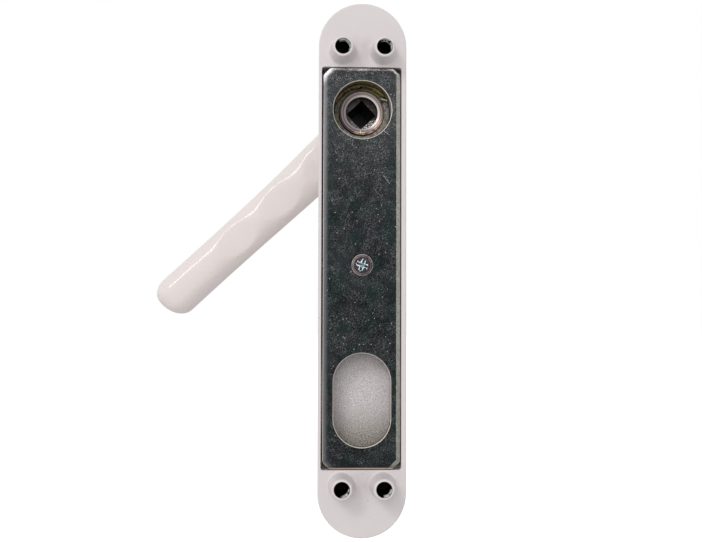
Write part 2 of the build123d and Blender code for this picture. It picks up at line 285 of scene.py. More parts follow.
def powder_coat():
    """White powder coat, with bare tapped holes and a sandy floor in the pocket."""
    look = Look("white_powder_coat")
    peel = look.noise(1.1 * MM, 2.0)
    tone = look.noise(14 * MM, 2.0)
    paint = look.mix(tone, rgb(224, 216, 216), rgb(217, 210, 211))
    speck = look.inside(look.cells(4.2 * MM), 0.05, 0.02)
    paint = look.mix(look.math("MULTIPLY", speck, 0.45), paint, rgb(130, 124, 124))
    grime = look.both(
        look.both(
            look.between(look.z, -147 * MM, -136 * MM, 1.5 * MM),
            look.between(look.x, -6 * MM, 7 * MM, 2 * MM),
        ),
        look.inside(look.cells(1.5 * MM), 0.16, 0.06),
    )
    on_land = look.between(look.y, -0.6 * MM, 1.0 * MM, 0.3 * MM)
    grime = look.both(on_land, look.both(grime, look.ramp(look.noise(3.0 * MM, 2.0), 0.42, 0.6)))
    paint = look.mix(look.math("MULTIPLY", grime, 0.55), paint, rgb(112, 104, 104))

    # Painted shade between the bosses of each row, with a little grime in it, mottled by noise.
    for row in boss_rows:
        shade_and_smudge = look.both(
            look.between(look.x, -3.5 * MM, 4.0 * MM, 3.0 * MM),
            look.between(look.z, row - 3.5 * MM, row + 4.5 * MM, 3.0 * MM),
        )
        shade_and_smudge = look.both(shade_and_smudge, look.ramp(look.noise(3.5 * MM, 3.0), 0.2, 0.8, 0.1, 0.34))
        shade_and_smudge = look.both(shade_and_smudge, on_land)
        paint = look.mix(shade_and_smudge, paint, rgb(140, 134, 137))

    grain = look.noise(0.31 * MM, 3.0)
    sand = look.mix(look.ramp(grain, 0.33, 0.67), rgb(176, 168, 168), rgb(238, 231, 232))
    # Towards the bottom of the floor an olive tint, with painted shade from the end of the pocket.
    bottom_shade_and_tint = look.ramp(look.z, -127 * MM, -108 * MM, 1.0, 0.0)
    olive = look.mix(look.ramp(look.noise(0.4 * MM, 2.0), 0.38, 0.62), rgb(76, 71, 56), rgb(196, 190, 176))
    sand = look.mix(look.math("MULTIPLY", bottom_shade_and_tint, 0.85), sand, olive)
    # Painted shadow of the plate's edge over the top of the floor.
    top_edge_shadow = look.ramp(look.z, -104 * MM, -90 * MM)
    sand = look.mix(look.math("MULTIPLY", top_edge_shadow, 0.3), sand, rgb(128, 120, 118))
    in_pocket = look.inside(look.y, -3.4 * MM, 0.1 * MM)
    facing = look.ramp(look.split(look.normal)[1], 0.9, 0.97)
    on_floor = look.both(in_pocket, facing)

    hole = None
    for x in (-boss_spacing / 2, boss_spacing / 2):
        for z in boss_rows:
            near = look.inside(look.radius(x, z), boss_mouth_radius + 0.02 * MM, 0.02 * MM)
            hole = near if hole is None else look.either(hole, near)
    hole = look.both(hole, look.ramp(look.y, -9.0 * MM, -8.6 * MM))
    well = look.both(look.inside(look.radius(), well_radius + 0.2 * MM, 0.05 * MM), in_pocket)
    well = look.both(well, look.ramp(look.y, -10.8 * MM, -10.6 * MM))
    bare = look.either(hole, well)
    metal = look.mix(look.noise(0.6 * MM, 2.0), rgb(52, 48, 45), rgb(104, 98, 92))

    colour = look.mix(bare, look.mix(on_floor, paint, sand), look.mix(well, metal, lit_and_shaded_well_wall(look)))
    roughness = look.math("ADD", look.math("MULTIPLY", on_floor, 0.2), 0.46)
    height = look.math("MULTIPLY", peel, 0.01 * MM)
    height = look.math("ADD", height, look.math("MULTIPLY", look.both(grain, on_floor), 0.12 * MM))
    shine = look.math("SUBTRACT", bare, look.math("MULTIPLY", well, 0.8))
    return look.finish(colour, roughness, shine, height, 0.8)


def neck_metal(look):
    """Turned and swaged metal of the neck end, as a colour and as how metallic it is, with painted light
    on its lit side, a painted gleam on the slope inside the lip, and painted shade in the bore and the
    socket.
    """
    radius = look.radius()
    rings = look.add("ShaderNodeTexNoise", noise_dimensions="1D")
    look.put(rings.inputs["W"], radius)
    rings.inputs["Scale"].default_value = 1 / (0.36 * MM)
    patina = look.noise(1.3 * MM, 3.0)
    # Painted light: lighter on the lit side, towards -X and up.
    lit_side = look.math("ADD", look.math("MULTIPLY", look.x, -0.95), look.math("MULTIPLY", look.z, 0.3))
    lit = look.ramp(lit_side, -6.5 * MM, 6.5 * MM)

    steel = look.mix(look.ramp(rings.outputs[0], 0.34, 0.66), rgb(46, 38, 42), rgb(152, 140, 140))
    steel = look.mix(look.math("MULTIPLY", lit, 0.3), steel, rgb(184, 164, 156))
    # A painted gleam on the slope inside the lip, bright on the lit side and dim on the other.
    slope = look.between(radius, bore_radius - 0.02 * MM, lip_gleam_radius, 0.12 * MM)
    outward = look.ramp(radius, bore_radius, lip_gleam_radius)
    dim = look.mix(outward, rgb(182, 170, 170), rgb(112, 102, 104))
    bright = look.mix(outward, rgb(255, 250, 246), rgb(206, 190, 184))
    gleam = look.mix(lit, dim, bright)
    turning = look.math("MULTIPLY", look.ramp(rings.outputs[0], 0.46, 0.54), 0.5)
    gleam = look.mix(turning, gleam, rgb(112, 100, 100))
    steel = look.mix(slope, steel, gleam)

    upward = look.math("ADD", look.z, look.math("MULTIPLY", look.x, 0.5))
    at_bottom = look.ramp(upward, -5.0 * MM, -7.5 * MM)
    peach = look.both(look.ramp(patina, 0.4, 0.56), at_bottom)
    peach = look.both(peach, look.ramp(radius, 7.3 * MM, 7.6 * MM))
    steel = look.mix(look.math("MULTIPLY", peach, 0.8), steel, rgb(232, 194, 168))
    for low, high in ((7.12 * MM, 7.26 * MM), (7.82 * MM, 8.0 * MM)):
        groove = look.between(radius, low, high, 0.05 * MM)
        steel = look.mix(look.math("MULTIPLY", groove, 0.65), steel, rgb(34, 28, 30))
    line = look.between(radius, 8.3 * MM, 8.42 * MM, 0.05 * MM)
    steel = look.mix(look.math("MULTIPLY", line, 0.5), steel, rgb(214, 200, 196))
    rim = look.ramp(radius, 8.45 * MM, 8.6 * MM)
    steel = look.mix(look.math("MULTIPLY", rim, 0.75), steel, rgb(40, 32, 30))
    nick = look.both(
        look.between(look.x, 0.4 * MM, 0.58 * MM, 0.04 * MM),
        look.both(look.inside(look.z, -6.7 * MM, 0.1 * MM), look.inside(radius, 8.2 * MM, 0.1 * MM)),
    )
    steel = look.mix(nick, steel, rgb(250, 244, 236))

    in_bore = look.both(
        look.inside(radius, bore_radius + 0.01 * MM, 0.01 * MM),
        look.inside(look.y, -lip_depth - 0.9 * MM, 0.1 * MM),
    )
    # Painted shade on the ledge deep in the bore, with bits of painted light on its lower part, stronger
    # towards -X.
    shaded_ledge = look.mix(look.ramp(look.noise(0.7 * MM, 3.0), 0.4, 0.7), rgb(34, 28, 28), rgb(84, 72, 72))
    light_patch_noise = look.ramp(look.noise(0.45 * MM, 2.0), 0.5, 0.6)
    painted_light_bits = look.both(light_patch_noise, look.inside(look.z, -2.2 * MM, 0.6 * MM))
    painted_light_bits = look.math("MULTIPLY", painted_light_bits, look.ramp(look.x, 2 * MM, -2 * MM, 0.35, 1.0))
    shaded_ledge = look.mix(painted_light_bits, shaded_ledge, rgb(255, 248, 242))
    steel = look.mix(in_bore, steel, shaded_ledge)
    # Painted shade: near black down in the square socket.
    socket = look.both(in_bore, look.inside(look.y, -ledge_depth - 0.25 * MM, 0.2 * MM))
    steel = look.mix(socket, steel, rgb(8, 8, 8))
    shine = look.math("SUBTRACT", 1.0, look.math("MULTIPLY", look.either(slope, in_bore), 0.55))
    return steel, look.math("SUBTRACT", shine, look.math("MULTIPLY", socket, 0.4))


def gloss_paint():
    """White gloss paint on the lever, and bare turned metal on the end that stands in the housing."""
    look = Look("white_gloss_paint")
    tone = look.noise(18 * MM, 2.0)
    paint = look.mix(tone, rgb(235, 225, 222), rgb(230, 220, 217))
    speck = look.inside(look.cells(7.0 * MM), 0.035, 0.012)
    paint = look.mix(look.math("MULTIPLY", speck, 0.5), paint, rgb(120, 112, 112))

    steel, shine = neck_metal(look)
    bare = look.ramp(look.y, -bare_neck_depth - 0.1 * MM, -bare_neck_depth + 0.1 * MM)
    bare = look.either(bare, look.inside(look.radius(), bare_socket_radius, 0.01 * MM))
    bare = look.both(bare, look.ramp(look.y, -bare_socket_depth, -bare_socket_depth + 0.5 * MM))
    colour = look.mix(bare, paint, steel)
    roughness = look.math("ADD", look.math("MULTIPLY", bare, 0.19), 0.13)
    height = look.math("MULTIPLY", look.both(bare, look.noise(0.5 * MM, 3.0)), 0.06 * MM)
    return look.finish(colour, roughness, look.both(bare, shine), height, 0.7)


def plate_edge(look):
    """How far a point of the plate lies inside its outline, on the right, left, top and bottom side."""
    right = look.math("SUBTRACT", look.x, plate_low.x)
    left = look.math("SUBTRACT", plate_high.x, look.x)
    top = look.math("SUBTRACT", plate_high.z, look.z)
    bottom = look.math("SUBTRACT", look.z, plate_low.z)

    def corner(a, b):
        """The distance from the cut corner between two sides."""
        past_cut = look.math("SUBTRACT", look.math("ADD", a, b), plate_corner_cut)
        return look.math("MULTIPLY", past_cut, math.sqrt(0.5))
    return right, left, top, bottom, corner


def zinc_plate():
    """Dark zinc plating, mottled, scratched and speckled, with painted reflections and painted shade on
    its bevel and painted highlights along its edges.
    """
    look = Look("zinc_plated_steel")
    patch = look.noise(12 * MM, 3.0, distortion=0.6)
    tint = look.noise(7 * MM, 2.0)
    base = look.mix(look.ramp(patch, 0.35, 0.68), rgb(22, 27, 28), rgb(44, 50, 50))
    base = look.mix(look.math("MULTIPLY", look.ramp(tint, 0.45, 0.7), 0.6), base, rgb(16, 46, 40))
    base = look.mix(look.math("MULTIPLY", look.ramp(tint, 0.5, 0.3), 0.3), base, rgb(44, 38, 52))
    upper = look.ramp(look.z, -50 * MM, 12 * MM)
    base = look.mix(look.math("MULTIPLY", upper, 0.35), base, rgb(80, 82, 83))

    cloud = look.ramp(look.noise(4.5 * MM, 3.0), 0.36, 0.64)
    strength = look.math("ADD", look.math("MULTIPLY", cloud, 0.45), 0.2)
    strength = look.math("MULTIPLY", strength, look.ramp(upper, 0, 1, 0.55, 1.1))
    for degrees, lengthening, size, tone in (
        (40, 2.4, 0.27, rgb(146, 149, 147)),
        (-50, 2.0, 0.24, rgb(8, 12, 16)),
        (15, 1.0, 0.20, rgb(176, 172, 178)),
        (0, 1.3, 0.34, rgb(12, 18, 18)),
    ):
        streaks = look.noise(size * MM, 0.0, look.turned(degrees, lengthening))
        streaks = look.both(look.ramp(streaks, 0.58, 0.68), strength)
        base = look.mix(streaks, base, tone)
    dots = look.inside(look.cells(2.2 * MM), 0.075, 0.02)
    base = look.mix(look.math("MULTIPLY", dots, 0.8), base, rgb(210, 212, 210))
    for degrees, place in ((-52, 1.3 * MM), (-38, 9.1 * MM), (63, 30.2 * MM)):
        line = look.turned(degrees, 14.0)
        beside = look.math("ABSOLUTE", look.math("SUBTRACT", look.split(line)[0], place))
        scratch = look.inside(beside, 0.08 * MM, 0.05 * MM)
        stretch = look.ramp(look.noise(5 * MM, 1.0), 0.56, 0.62)
        base = look.mix(look.both(scratch, look.math("MULTIPLY", stretch, 0.7)), base, rgb(186, 188, 186))

    # Painted reflections on the bevel: a grey band on the right, a pale band along the top and painted
    # shade on the left; near the bottom a dark line, a grey band and a bright line. Noise makes the band
    # edges wobble.
    right, left, top, bottom, corner = plate_edge(look)
    mottle = look.noise(0.6 * MM, 2.0)
    band_wobble = look.math("ADD", look.math("MULTIPLY", look.noise(1.4 * MM, 2.0), 0.3 * MM), -0.15 * MM)
    grey = look.mix(look.ramp(mottle, 0.35, 0.65), rgb(141, 140, 134), rgb(168, 166, 158))
    pale = look.mix(look.ramp(mottle, 0.4, 0.6), rgb(136, 132, 132), rgb(214, 206, 204))
    bevel = look.math("ADD", look.math("MINIMUM", right, corner(right, bottom)), band_wobble)
    colour = look.mix(look.inside(bevel, 1.6 * MM, 0.12 * MM), base, grey)
    bevel = look.math("ADD", look.math("MINIMUM", top, corner(top, right)), band_wobble)
    colour = look.mix(look.inside(bevel, 0.95 * MM, 0.3 * MM), colour, pale)
    bevel = look.math("MINIMUM", left, look.math("MINIMUM", corner(left, top), corner(left, bottom)))
    shade = look.mix(look.ramp(look.z, -90 * MM, 0.0), rgb(118, 122, 124), rgb(136, 136, 138))
    colour = look.mix(look.ramp(bevel, 0.1 * MM, 2.3 * MM, 0.95, 0.0), colour, shade)
    # A painted highlight along the outer edge of the left side, stronger lower down.
    edge_highlight = look.inside(bevel, 0.26 * MM, 0.1 * MM)
    edge_highlight = look.both(edge_highlight, look.ramp(look.z, 10 * MM, -10 * MM, 0.35, 0.9))
    colour = look.mix(edge_highlight, colour, rgb(228, 222, 214))
    # A painted highlight at the top left corner.
    near_corner = look.inside(corner(left, top), 1.6 * MM, 1.8 * MM)
    flash = look.both(near_corner, look.inside(bevel, 1.5 * MM, 1.1 * MM))
    colour = look.mix(flash, colour, rgb(250, 251, 252))
    low_line = look.between(bottom, 1.0 * MM, 1.25 * MM, 0.1 * MM)
    colour = look.mix(look.math("MULTIPLY", low_line, 0.6), colour, rgb(40, 34, 52))
    low_band = look.math("MULTIPLY", look.inside(bottom, 0.85 * MM, 0.15 * MM), 0.6)
    colour = look.mix(low_band, colour, rgb(118, 116, 118))
    colour = look.mix(look.inside(bottom, 0.34 * MM, 0.1 * MM), colour, rgb(244, 226, 200))

    # Painted highlights along the edges of the hub hole, brighter towards -X and down, and along the edges
    # of the lock opening.
    from_hole = look.math("SUBTRACT", look.radius(), hub_hole_radius)
    hub_edge_highlight = look.between(from_hole, 0.03 * MM, 0.24 * MM, 0.04 * MM)
    leftward = look.math("MULTIPLY", look.x, -0.8)
    facing_light = look.math("SUBTRACT", leftward, look.math("MULTIPLY", look.z, 0.6))
    sheen = look.ramp(facing_light, -8 * MM, 8 * MM)
    colour = look.mix(hub_edge_highlight, colour, look.mix(sheen, rgb(226, 216, 208), rgb(255, 250, 244)))
    reach = look.math("ABSOLUTE", look.math("SUBTRACT", look.z, lock_height))
    beyond = look.math("MAXIMUM", look.math("SUBTRACT", reach, lock_length / 2 - lock_radius), 0.0)
    from_slot = look.math("SQRT", look.math("ADD", look.both(look.x, look.x), look.both(beyond, beyond)))
    lock_edge_highlight = look.between(from_slot, lock_radius - 0.05 * MM, lock_radius + 0.24 * MM, 0.04 * MM)
    colour = look.mix(look.math("MULTIPLY", lock_edge_highlight, 0.95), colour, rgb(232, 220, 210))
    # Painted shade on the walls that face sideways; the wall of the hub hole takes the painted light and
    # shade of the well wall.
    facing = look.split(look.normal)[1]
    wall = look.ramp(facing, 0.1, 0.3, 1.0, 0.0)
    hub_wall = look.inside(look.radius(), hub_hole_radius + 0.05 * MM, 0.02 * MM)
    dark = look.mix(hub_wall, rgb(34, 32, 30), lit_and_shaded_well_wall(look))
    colour = look.mix(look.math("MULTIPLY", wall, 0.9), colour, dark)

    dull = look.either(look.either(hub_edge_highlight, lock_edge_highlight), look.either(flash, look.both(wall, hub_wall)))
    shine = look.math("SUBTRACT", 1.0, look.math("MULTIPLY", dull, 0.8))
    roughness = look.ramp(look.noise(1.2 * MM, 3.0), 0.3, 0.7, 0.3, 0.46)
    height = look.math("MULTIPLY", look.noise(0.45 * MM, 3.0), 0.03 * MM)
    return look.finish(colour, roughness, shine, height, 0.6)


def screw_steel():
    """Bright blue-passivated steel of the plate screw, with a battered cross recess, painted highlights on
    the rim of its head and the edges of the recess, painted glints in the recess, and painted light on one
    side of its countersunk band.
    """
    look = Look("screw_steel")
    grain = look.noise(0.5 * MM, 3.0)
    radius = look.radius(0.0, screw_height)
    face = look.mix(look.ramp(grain, 0.35, 0.65), rgb(50, 42, 50), rgb(88, 78, 88))
    # Painted light: the countersunk band is lighter on the +X side.
    leftward = look.ramp(look.x, -3.0 * MM, 3.0 * MM)
    band = look.mix(leftward, rgb(46, 44, 46), rgb(100, 96, 96))
    band = look.mix(look.math("MULTIPLY", look.ramp(grain, 0.45, 0.6), 0.4), band, rgb(150, 144, 142))
    colour = look.mix(look.ramp(radius, 3.05 * MM, 3.2 * MM), face, band)
    # Painted highlights on the rim of the head and on a faint line inside it, in patches.
    rim_patches = look.ramp(look.noise(1.4 * MM, 2.0), 0.3, 0.6, 0.45, 1.0)
    inner_line = look.math("MULTIPLY", look.between(radius, 3.2 * MM, 3.3 * MM, 0.06 * MM), 0.3)
    rim = look.both(look.either(look.ramp(radius, 3.84 * MM, 3.9 * MM), inner_line), rim_patches)
    colour = look.mix(look.math("MULTIPLY", rim, 0.8), colour, rgb(250, 230, 222))

    arms = look.add("ShaderNodeVectorRotate", rotation_type="Y_AXIS")
    look.put(arms.inputs["Vector"], look.place)
    arms.inputs["Center"].default_value = (0.0, 0.0, screw_height)
    arms.inputs["Angle"].default_value = recess_angle
    turned = look.split(arms.outputs[0])
    one = look.math("ABSOLUTE", turned[0])
    other = look.math("ABSOLUTE", look.math("SUBTRACT", turned[2], screw_height))
    ragged = look.math("MULTIPLY", look.math("SUBTRACT", look.noise(0.6 * MM, 2.0), 0.5), 1.5 * MM)
    near = look.math("ADD", look.math("MINIMUM", one, other), ragged)
    far = look.math("ADD", look.math("MAXIMUM", one, other), ragged)
    # Painted highlights along the edges of the cross recess.
    outline = look.both(look.inside(near, 0.78 * MM, 0.08 * MM), look.inside(far, 2.2 * MM, 0.1 * MM))
    colour = look.mix(look.math("MULTIPLY", outline, 0.92), colour, rgb(240, 254, 254))
    # Painted glints in the middle of the recess.
    glint_spots = look.ramp(look.noise(0.45 * MM, 1.0), 0.46, 0.54)
    recess = look.inside(look.y, -0.4 * MM, 0.1 * MM)
    middle = look.both(glint_spots, look.inside(radius, 1.0 * MM, 0.3 * MM))
    colour = look.mix(recess, colour, look.mix(middle, rgb(28, 76, 90), rgb(206, 232, 234)))
    shine = look.math("SUBTRACT", 1.0, look.math("MULTIPLY", look.either(outline, rim), 0.6))
    return look.finish(colour, 0.32, shine, look.math("MULTIPLY", grain, 0.04 * MM), 0.7)


def greased_steel(name, low, high):
    """Grey steel with a film of grease on the side that the grease has reached, and a painted glint on the
    cut end.
    """
    look = Look(name)
    grain = look.noise(0.7 * MM, 3.0, look.stretched(1, 0.4, 1))
    steel = look.mix(look.ramp(grain, 0.3, 0.7), low, high)
    side = look.math("ADD", look.math("MULTIPLY", look.z, 0.75), look.math("MULTIPLY", look.x, 0.66))
    wobble = look.math("MULTIPLY", look.math("SUBTRACT", look.noise(4 * MM, 3.0), 0.5), 6 * MM)
    film = look.ramp(look.math("ADD", side, wobble), -1.0 * MM, 2.0 * MM)
    grease = look.mix(look.ramp(look.noise(1.3 * MM, 3.0), 0.35, 0.65), rgb(34, 28, 14), rgb(98, 86, 46))
    fresh = look.both(look.ramp(look.x, 0.0, -4.0 * MM), look.ramp(look.z, 4.0 * MM, 6.0 * MM))
    grease = look.mix(look.math("MULTIPLY", fresh, 0.7), grease, rgb(138, 126, 70))
    colour = look.mix(look.math("MULTIPLY", film, 0.85), steel, grease)
    facing = look.split(look.normal)[1]
    # A painted glint, near white, on the cut end of the washer.
    at_end = look.both(look.ramp(look.z, 3.4 * MM, 4.0 * MM), look.inside(look.x, -6.5 * MM, 0.3 * MM))
    cut_end_glint = look.both(look.inside(facing, 0.5, 0.2), at_end)
    colour = look.mix(cut_end_glint, colour, rgb(255, 252, 248))
    metallic = look.ramp(film, 0.0, 1.0, 1.0, 0.3)
    return look.finish(colour, 0.3, metallic, look.math("MULTIPLY", grain, 0.08 * MM), 0.7)


def grease():
    """Old yellow-brown grease, with a fresher olive patch at one end."""
    look = Look("grease")
    tone = look.noise(1.2 * MM, 4.0, distortion=0.5)
    colour = look.mix(look.ramp(tone, 0.38, 0.62), rgb(28, 23, 12), rgb(100, 87, 48))
    fresh = look.both(look.ramp(look.x, -3.5 * MM, -6.0 * MM), look.ramp(look.z, 3.0 * MM, 5.0 * MM))
    colour = look.mix(look.math("MULTIPLY", fresh, 0.7), colour, rgb(142, 131, 76))
    height = look.math("MULTIPLY", look.noise(0.9 * MM, 3.0), 0.25 * MM)
    return look.finish(colour, 0.24, 0.0, height, 0.8)


def thread_metal():
    """Cut zinc of the tapped holes: painted glints on the wall near the mouth, on the side of each hole
    that shows, and painted shade, near black, elsewhere.
    """
    look = Look("thread_metal")
    grain = look.noise(0.4 * MM, 3.0)
    bright = look.mix(look.ramp(grain, 0.3, 0.7), rgb(176, 178, 182), rgb(255, 253, 250))
    # Which side of each hole gets the painted glints.
    axis = look.math("MULTIPLY", look.math("SIGN", look.x), boss_spacing / 2)
    from_middle = look.math("ABSOLUTE", look.math("SUBTRACT", look.z, row_middle))
    outward = look.math("SUBTRACT", from_middle, row_reach)
    rightward = look.math("SUBTRACT", axis, look.x)
    side = look.math("MULTIPLY", look.math("ADD", outward, rightward), 0.7)
    patch = look.ramp(look.noise(1.1 * MM, 2.0), 0.38, 0.5)
    in_top_row = look.ramp(look.z, row_middle - MM, row_middle + MM)
    side = look.math("ADD", side, look.math("MULTIPLY", in_top_row, 1.0 * MM))
    side = look.both(look.ramp(side, 1.3 * MM, 2.1 * MM), patch)
    depth = look.both(look.ramp(look.y, boss_height - 3.8 * MM, boss_height - 2.6 * MM), side)
    colour = look.mix(depth, rgb(12, 12, 12), bright)
    shine = look.ramp(depth, 0.0, 1.0, 1.0, 0.1)
    return look.finish(colour, 0.3, shine, look.math("MULTIPLY", grain, 0.05 * MM), 0.6)


def bush_plastic():
    """Natural white bearing plastic."""
    look = Look("bush_plastic")
    tone = look.noise(3 * MM, 2.0)
    colour = look.mix(tone, rgb(226, 224, 218), rgb(214, 211, 204))
    return look.finish(colour, 0.45, 0.0, look.math("MULTIPLY", look.noise(0.8 * MM, 2.0), 0.02 * MM), 0.5)


def mesh_piece(name, points, faces, material, body):
    """A smooth mesh that rides on a body."""
    mesh = bpy.data.meshes.new(name)
    mesh.from_pydata([tuple(p) for p in points], [], faces)
    mesh.validate()
    mesh.update()
    mesh.polygons.foreach_set("use_smooth", [True] * len(mesh.polygons))
    mesh.materials.append(material)
    piece = bpy.data.objects.new(name, mesh)
    bpy.context.scene.collection.objects.link(piece)
    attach(piece, body)
    return piece


def tube_faces(rows, columns):
    """Faces of rings of points that are joined row to row, and the last row to the first."""
    faces = []
    for i in range(rows):
        following = (i + 1) % rows
        for j in range(columns):
            beside = (j + 1) % columns
            faces.append((
                i * columns + j,
                i * columns + beside,
                following * columns + beside,
                following * columns + j,
            ))
    return faces


def finger_wave(reach):
    """How far the door side of the grip lies below its ridges."""
    past = reach - last_ridge
    if past > 0:
        return tip_zone_step * (1 - 1 / (1 + (past / tip_zone_ramp) ** 2))
    rounded = math.hypot(math.sin(math.pi * past / finger_pitch), ridge_sharpness) - ridge_sharpness
    return finger_depth * rounded / (math.hypot(1, ridge_sharpness) - ridge_sharpness)


def grip_width(reach):
    """Width of the grip, which narrows from the root to a waist and widens a little to the tip."""
    waist = cap_start + tip_length - grip_waist_from_tip
    from_waist = (waist - reach) / (waist - grip_start)
    return grip_waist_width + (grip_root_width - grip_waist_width) * from_waist ** 2


def middle_rise(reach):
    """How far the middle of the lever lies above a straight line through the spindle axis."""
    return grip_root_rise * max(0.0, 1 - reach / grip_rise_run) ** 2


def door_side(reach, aside):
    """Height of the grip's door side: an oval that the finger hollows cut with a soft edge."""
    oval = grip_door_side * math.sqrt(max(0.0, 1 - aside ** 2))
    hollow = grip_door_side - finger_wave(reach) - hollow_crown * aside ** 2
    gap = abs(oval - hollow)
    return min(oval, hollow) - hollow_edge * math.log(1 + math.exp(-gap / hollow_edge))


def grip_ring(columns, centre, sideways, up, reach, width, size=1.0):
    """One section of the grip, with the finger hollows of a reach, at a share of its full size."""
    ring = []
    for j in range(columns):
        angle = 2 * math.pi * j / columns
        aside = math.cos(angle)
        if math.sin(angle) > 0:
            height = door_side(reach, aside)
        else:
            height = grip_room_side * math.sin(angle)
        ring.append(centre + sideways * (width / 2 * aside * size) + up * (height * size))
    return ring


def round_ring(columns, centre, sideways, up, radius):
    """One round section of the lever."""
    return [
        centre + sideways * (radius * math.cos(angle)) + up * (radius * math.sin(angle))
        for angle in (2 * math.pi * j / columns for j in range(columns))
    ]


def neck_end_rings(columns):
    """The square socket, the bore, the swaged lip and the journal, from the bottom of the socket."""
    rings = []
    for depth in (socket_end, ledge_depth):
        ring = []
        for j in range(columns):
            angle = 2 * math.pi * j / columns
            reach = socket_half_side / max(abs(math.cos(angle)), abs(math.sin(angle)))
            flat = across * (reach * math.cos(angle)) + along * (reach * math.sin(angle))
            ring.append(flat - into_door * depth)
        rings.append(ring)
    profile = [
        (bore_radius, ledge_depth),
        (bore_radius, lip_depth + lip_slope_depth),
        (lip_slope_radius, lip_depth),
        (lip_step_radius, lip_depth),
        (lip_step_radius, lip_depth + lip_step),
    ]
    for depth, start in ((lip_depth + lip_step + lip_edge, 90), (lip_under - lip_edge, 0)):
        for step in range(7):
            turn = math.radians(start - 15 * step)
            radius = lip_radius - lip_edge + lip_edge * math.cos(turn)
            profile.append((radius, depth - lip_edge * math.sin(turn)))
    profile += [
        (tube_radius, lip_under),
        (tube_radius, journal_start),
        (journal_radius, journal_start),
        (journal_radius, shoulder_depth),
        (neck_radius, shoulder_depth),
    ]
    for radius, depth in profile:
        rings.append(round_ring(columns, into_door * -depth, across, along, radius))
    return rings


def lever_mesh(material):
    """The whole lever as one closed skin, finer than the solid, from the socket to the tip."""
    columns = 160
    bend_steps = 48
    grip_steps = 160
    cap_steps = 36
    rings = neck_end_rings(columns)
    for i in range(bend_steps + 1):
        turned = math.pi / 2 * i / bend_steps
        share = (1 - math.cos(2 * turned)) / 2
        reach = bend_radius * (1 - math.cos(turned))
        depth = grip_depth - bend_radius + bend_radius * math.sin(turned)
        centre = along * reach - into_door * depth - across * (middle_rise(reach) * share)
        up = along * math.cos(turned) + into_door * math.sin(turned)
        neck = round_ring(columns, centre, across, up, neck_radius)
        grip = grip_ring(columns, centre, across, up, grip_start, grip_root_width)
        rings.append([a.lerp(b, share) for a, b in zip(neck, grip)])
    for i in range(grip_steps + 1):
        reach = grip_start + (cap_start - grip_start) * i / grip_steps
        centre = along * reach - into_door * grip_depth - across * middle_rise(reach)
        rings.append(grip_ring(columns, centre, across, into_door, reach, grip_width(reach)))
    for i in range(1, cap_steps + 1):
        share = math.sin(math.radians(cap_turn * i / cap_steps))
        shrink = (1 - share ** tip_power) ** (1 / tip_power)
        skew = tip_skew * share
        centre = along * (cap_start + (tip_length - tip_margin) * share) - into_door * grip_depth
        sideways = across * math.cos(skew) - along * math.sin(skew)
        width = grip_width(cap_start)
        rings.append(grip_ring(columns, centre, sideways, into_door, cap_start, width, shrink))
    count = len(rings)
    faces = [face for face in tube_faces(count, columns) if face[2] // columns != 0]
    faces.append(tuple(range(columns)))
    faces.append(tuple(reversed(range((count - 1) * columns, count * columns))))
    points = [point for ring in rings for point in ring]
    piece = mesh_piece("lever_skin", points, faces, material, "lever")
    piece.data.set_sharp_from_angle(angle=sharp_angle)
    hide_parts("lever")
    return piece


def tapped_thread(name, x, z, material):
    """The thread of one tapped hole: a closed sleeve against the wall of the hole, ridged inside."""
    pitch = 1.0 * MM
    outer = boss_hole_radius - 0.004 * MM
    crest = boss_hole_radius - 0.42 * MM
    top = boss_height - 0.15 * MM
    length = 11.0 * MM
    columns = 56
    rows = 100
    points = []
    for i in range(rows):
        depth = length * i / (rows - 1)
        fade = min(1.0, depth / (0.8 * pitch), (length - depth) / (0.8 * pitch))
        for j in range(columns):
            angle = 2 * math.pi * j / columns
            turn = (depth / pitch + angle / (2 * math.pi)) % 1.0
            ridge = (1 - abs(2 * turn - 1)) ** 0.8 * fade
            radius = outer - 0.02 * MM - (outer - crest) * ridge
            points.append((x + radius * math.cos(angle), top - depth, z + radius * math.sin(angle)))
    for depth in (length, 0.0):
        for j in range(columns):
            angle = 2 * math.pi * j / columns
            points.append((x + outer * math.cos(angle), top - depth, z + outer * math.sin(angle)))
    return mesh_piece(name, points, tube_faces(rows + 2, columns), material, "housing")


def grease_bead(material):
    """A lumpy bead of grease on the wall of the well, over the spring washer."""
    first, last = math.radians(-17), math.radians(143)
    rows, columns = 90, 12
    wall = well_radius - 0.03 * MM
    points = []
    for i in range(rows):
        share = i / (rows - 1)
        angle = first + (last - first) * share
        taper = math.sin(math.pi * share) ** 0.35
        lump = noise.noise(Vector((6 * share, 0.3, 0.0)))
        ripple = noise.noise(Vector((22 * share, 4.1, 0.0)))
        reach = (1.0 + 0.7 * share + 0.5 * lump + 0.15 * ripple) * MM * taper + 0.05 * MM
        rise = (2.2 + 0.9 * lump + 0.3 * ripple) * MM * taper + 0.05 * MM
        for j in range(columns):
            turn = 2 * math.pi * j / columns
            inward = reach * (0.5 + 0.5 * math.cos(turn))
            up = rise * (0.5 + 0.5 * math.sin(turn)) * (1 - 0.45 * (0.5 + 0.5 * math.cos(turn)))
            radius = wall - inward
            points.append((
                -radius * math.sin(angle - math.pi / 2),
                -spring_top_depth - 0.25 * MM + up,
                radius * math.cos(angle - math.pi / 2),
            ))
    faces = [face for face in tube_faces(rows, columns) if face[2] // columns != 0]
    faces.append(tuple(range(columns)))
    faces.append(tuple(reversed(range((rows - 1) * columns, rows * columns))))
    return mesh_piece("grease_bead", points, faces, material, "housing")


